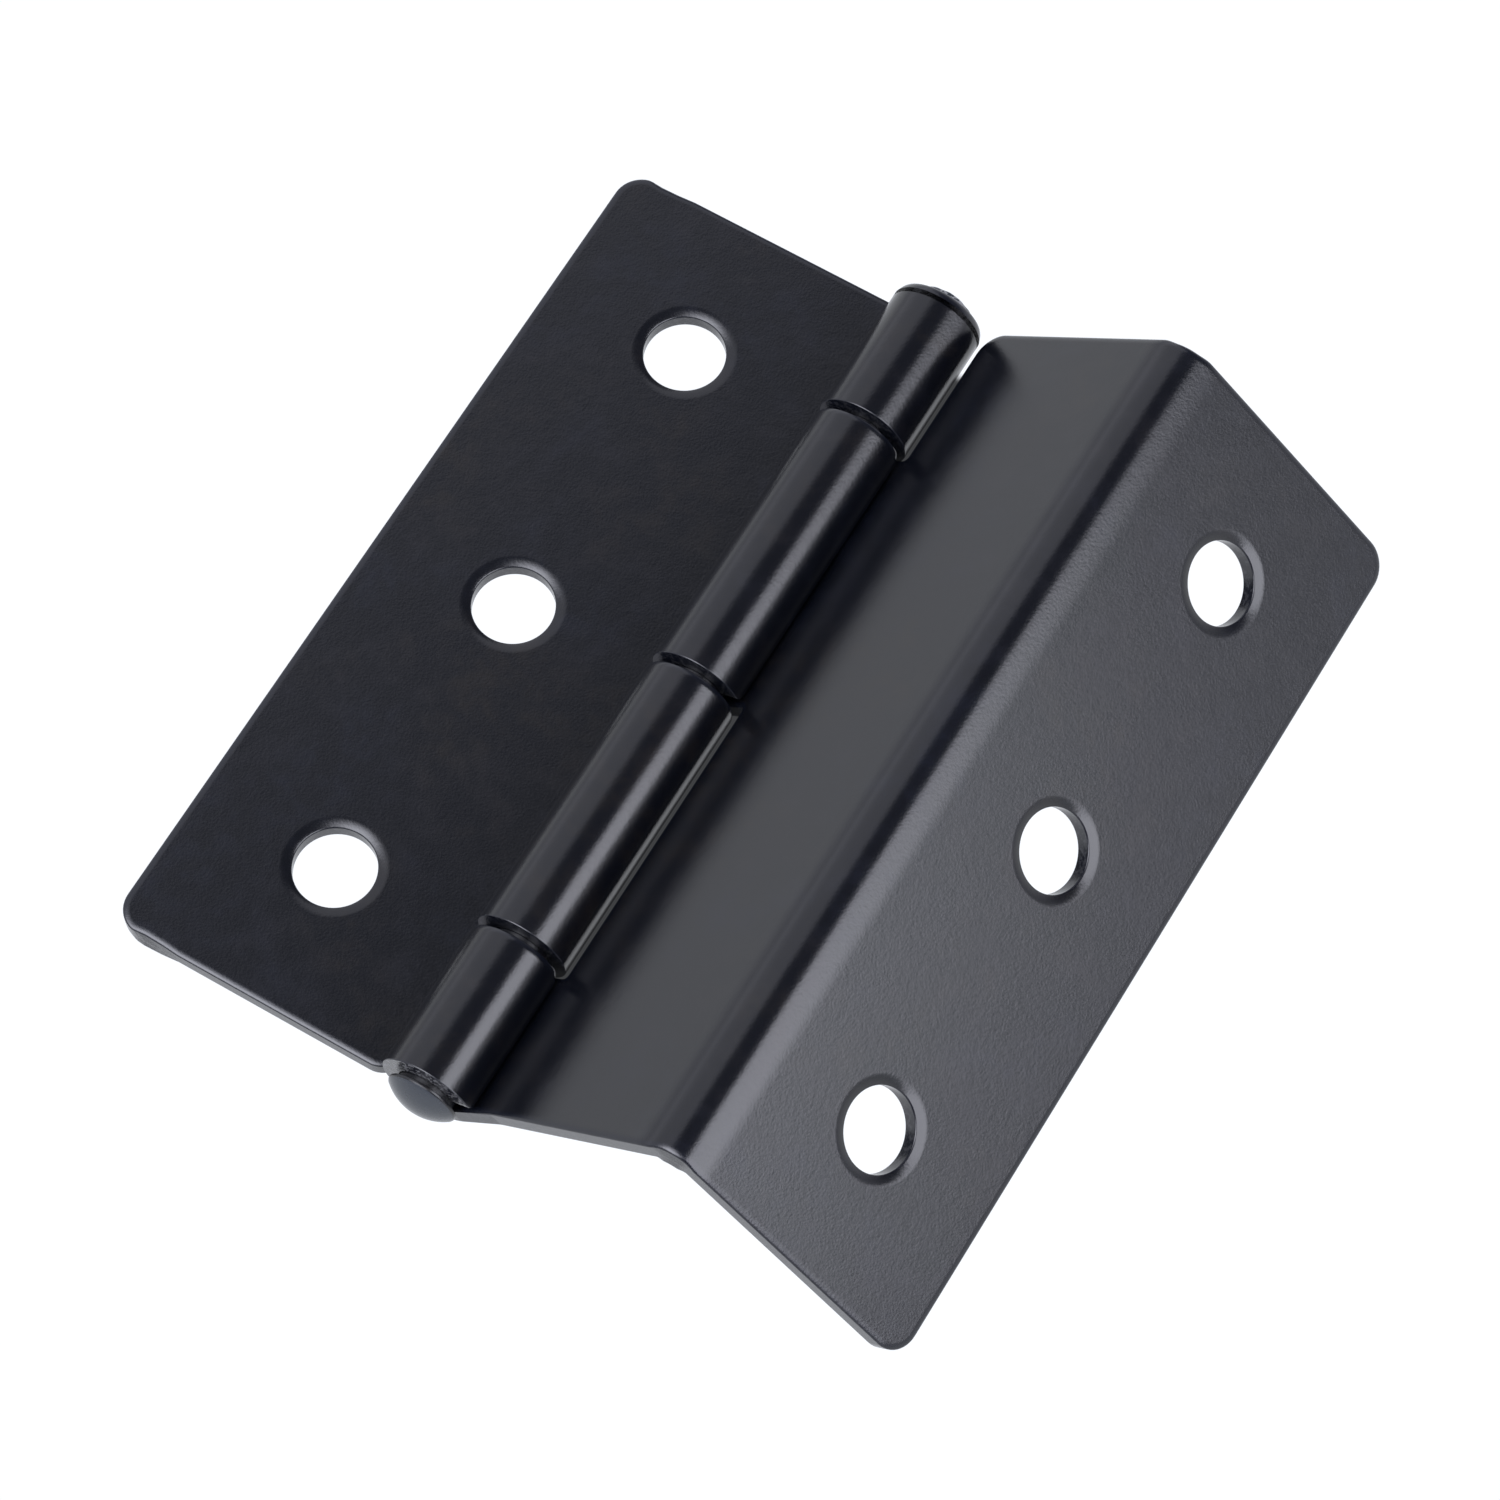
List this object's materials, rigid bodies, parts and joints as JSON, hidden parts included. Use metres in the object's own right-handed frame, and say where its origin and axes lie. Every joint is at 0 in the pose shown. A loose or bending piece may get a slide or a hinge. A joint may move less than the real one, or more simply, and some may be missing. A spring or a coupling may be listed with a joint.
{
  "type": "cranked piano hinge",
  "caption": "Short length of piano hinge: a flat leaf and a leaf bent into a ridge turn on one headed pin, and each leaf has a row of plain screw holes.",
  "frame": {"origin": "centre of the flat leaf's middle screw hole, on the face that lies on the work", "axes": "+X from the flat leaf to the cranked leaf, +Y along the pin from its head to its riveted end, +Z out of the work"},
  "size_m": [0.0694, 0.0793, 0.0184],
  "materials": {
    "black_coated_steel": "semi-gloss black coating with a faint orange peel and worn bright spots on cut edges",
    "black_pin": "semi-gloss black coating over a headed and riveted steel pin"
  },
  "bodies": {
    "flat_side": {"flat_leaf": "black_coated_steel", "hinge_pin": "black_pin"},
    "cranked_side": {"cranked_leaf": "black_coated_steel"}
  },
  "joints": [
    {"name": "leaf_hinge", "type": "hinge", "parent": "flat_side", "child": "cranked_side", "pos_m": [0.0164, 0, 0.0039], "axis": [0, -1, 0], "range_deg": [-121, 138.5]}
  ]
}
